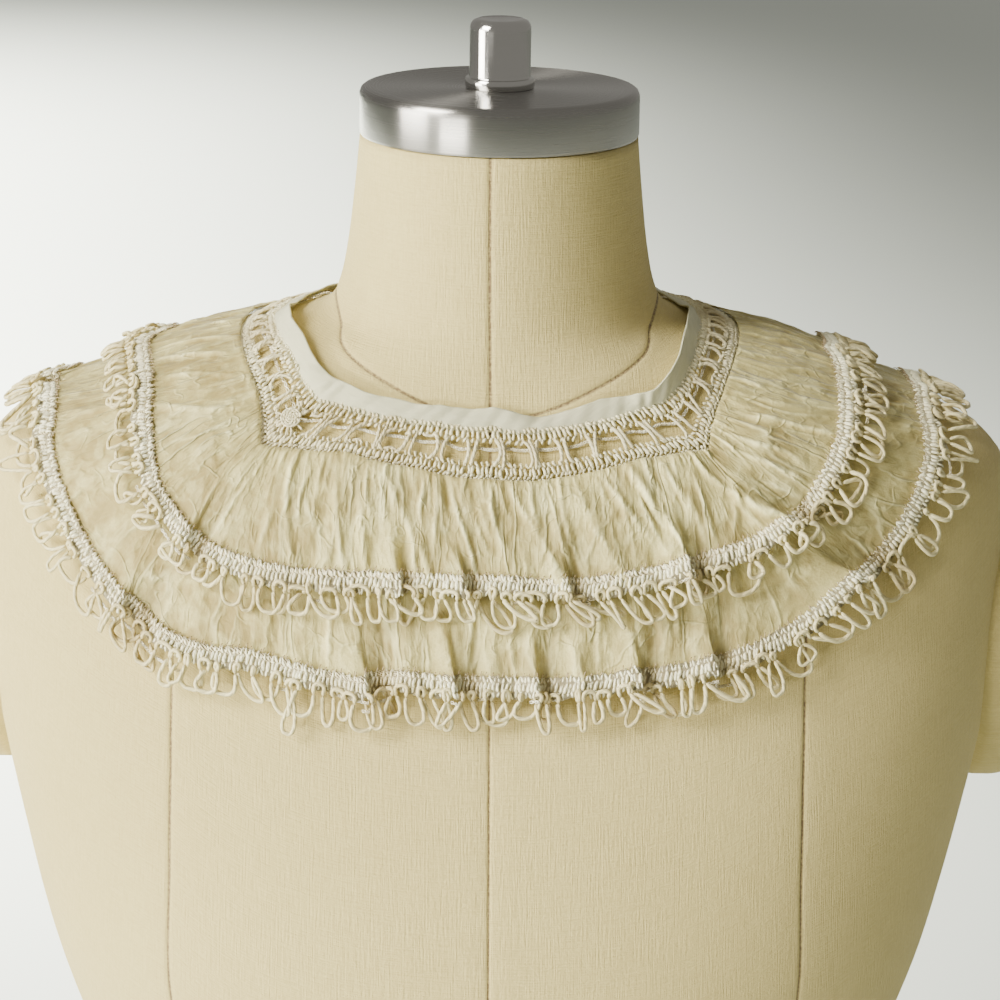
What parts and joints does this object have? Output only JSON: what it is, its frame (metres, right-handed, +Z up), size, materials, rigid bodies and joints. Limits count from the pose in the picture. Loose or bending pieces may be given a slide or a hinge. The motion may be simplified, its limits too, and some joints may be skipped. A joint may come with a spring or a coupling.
{
  "type": "lace collar on a dress form",
  "caption": "Two-tier gathered collar with a square crochet insertion and looped crochet hems, lying on a limbless linen dress form with a steel neck cap.",
  "frame": {"origin": "centre of the form's flat underside", "axes": "+Z up along the neck; the form and the collar face -Y; +X is to the right of somebody looking at the front"},
  "size_m": [0.412, 0.2355, 0.6753],
  "materials": {
    "linen": "plain woven unbleached linen, matt",
    "steel": "brushed round the cap",
    "chrome": "polished",
    "voile": "fine white cotton, folded, slightly sheer",
    "chiffon": "sheer crinkled silk, cream with aged blotches",
    "crochet": "two-ply cream cotton thread, matt"
  },
  "bodies": {
    "root": {"form_torso": "linen", "form_arm_left": "linen", "form_arm_right": "linen", "form_neck_cap": "steel", "form_neck_post": "chrome", "neck_binding": "voile", "insertion_front": "crochet", "insertion_left": "crochet", "insertion_right": "crochet", "insertion_back_left": "crochet", "insertion_back_right": "crochet", "tier_upper": "chiffon", "tier_lower": "chiffon", "trim_upper": "crochet", "trim_lower": "crochet"}
  },
  "joints": []
}
